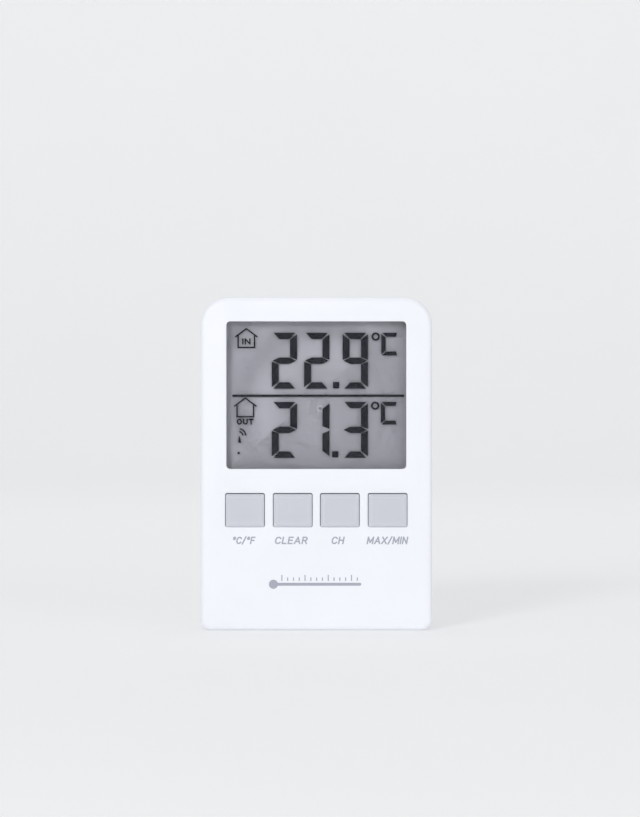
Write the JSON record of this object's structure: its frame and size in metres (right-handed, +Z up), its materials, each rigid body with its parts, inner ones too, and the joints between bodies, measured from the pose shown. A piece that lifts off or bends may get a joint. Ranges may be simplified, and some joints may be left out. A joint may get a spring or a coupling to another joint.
{
  "type": "maximum minimum thermometer",
  "caption": "Upright white digital maximum minimum thermometer with a grey display window, a row of grey push keys, a battery door, a fold-out stand and a hanging keyhole.",
  "frame": {"origin": "centre of the bounding box at the bottom: under the middle of the width and of the depth, key tops included, on the flat bottom that the case stands on", "axes": "+X to the right seen from the front, +Y from the front to the back (the display faces -Y), +Z up along the height"},
  "size_m": [0.066, 0.0218, 0.095],
  "materials": {
    "white_case": "white ABS, fine satin texture outside",
    "grey_key": "light grey ABS, satin",
    "clear_lens": "clear acrylic with a hard gloss",
    "adhesive_tape": "thin black double-sided adhesive tape",
    "polarizer_film": "grey polarizing film",
    "display_glass": "thin soda-lime display glass",
    "reflector_film": "silver grey diffuse reflector film",
    "holder_plastic": "natural white plastic",
    "conductive_rubber": "layered conductive and plain rubber",
    "circuit_board": "green solder resist on glass fibre board",
    "black_resin": "black epoxy resin",
    "tinned_can": "tin plated steel can",
    "copper_wire": "enamelled copper wire",
    "capacitor_sleeve": "dark blue shrink sleeve",
    "keypad_silicone": "translucent white silicone rubber",
    "carbon_pill": "carbon filled rubber",
    "cell_sleeve": "printed foil sleeve on a steel can, plain graphite grey",
    "nickel_contact": "nickel plated spring steel",
    "red_insulation": "red PVC insulation",
    "black_insulation": "black PVC insulation",
    "screw_steel": "zinc plated steel"
  },
  "bodies": {
    "case": {"front_cover": "white_case", "rear_cover": "white_case", "window_lens": "clear_lens", "lens_tape": "adhesive_tape", "lcd_front_polarizer": "polarizer_film", "lcd_front_glass": "display_glass", "lcd_rear_glass": "display_glass", "lcd_reflector": "reflector_film", "lcd_holder": "holder_plastic", "zebra_strip": "conductive_rubber", "main_board": "circuit_board", "controller_chip": "black_resin", "clock_crystal": "tinned_can", "thermistor": "black_resin", "receiver_board": "circuit_board", "receiver_chip": "black_resin", "receiver_crystal": "tinned_can", "receiver_pins": "black_resin", "antenna_coil": "copper_wire", "filter_capacitor": "capacitor_sleeve", "rubber_keypad": "keypad_silicone", "battery_upper": "cell_sleeve", "battery_lower": "cell_sleeve", "spring_contact": "nickel_contact", "flat_contact": "nickel_contact", "link_contact": "nickel_contact", "red_lead": "red_insulation", "black_lead": "black_insulation", "case_screw_lower_left": "screw_steel", "case_screw_lower_right": "screw_steel", "case_screw_upper_left": "screw_steel", "case_screw_upper_right": "screw_steel", "board_screw_lower_left": "screw_steel", "board_screw_lower_right": "screw_steel", "board_screw_upper_left": "screw_steel", "board_screw_upper_right": "screw_steel"},
    "key_unit_body": {"key_unit": "grey_key", "contact_pill_unit": "carbon_pill"},
    "key_clear_body": {"key_clear": "grey_key", "contact_pill_clear": "carbon_pill"},
    "key_channel_body": {"key_channel": "grey_key", "contact_pill_channel": "carbon_pill"},
    "key_max_min_body": {"key_max_min": "grey_key", "contact_pill_max_min": "carbon_pill"},
    "door_body": {"battery_door": "white_case"},
    "stand_body": {"stand": "white_case"}
  },
  "joints": [
    {"name": "key_unit_press", "type": "slide", "parent": "case", "child": "key_unit_body", "axis": [0, 1, 0], "range_m": [0, 0.0008], "stiffness_N_per_m": 800, "deforming": ["rubber_keypad"]},
    {"name": "key_clear_press", "type": "slide", "parent": "case", "child": "key_clear_body", "axis": [0, 1, 0], "range_m": [0, 0.0008], "stiffness_N_per_m": 800, "deforming": ["rubber_keypad"]},
    {"name": "key_channel_press", "type": "slide", "parent": "case", "child": "key_channel_body", "axis": [0, 1, 0], "range_m": [0, 0.0008], "stiffness_N_per_m": 800, "deforming": ["rubber_keypad"]},
    {"name": "key_max_min_press", "type": "slide", "parent": "case", "child": "key_max_min_body", "axis": [0, 1, 0], "range_m": [0, 0.0008], "stiffness_N_per_m": 800, "deforming": ["rubber_keypad"]},
    {"name": "battery_door_hinge", "type": "hinge", "parent": "case", "child": "door_body", "pos_m": [0, 0.0109, 0.0523], "axis": [-1, 0, 0], "range_deg": [0, 80]},
    {"name": "stand_hinge", "type": "hinge", "parent": "case", "child": "stand_body", "pos_m": [0, 0.0092, 0.0466], "axis": [1, 0, 0], "range_deg": [0, 36]}
  ]
}
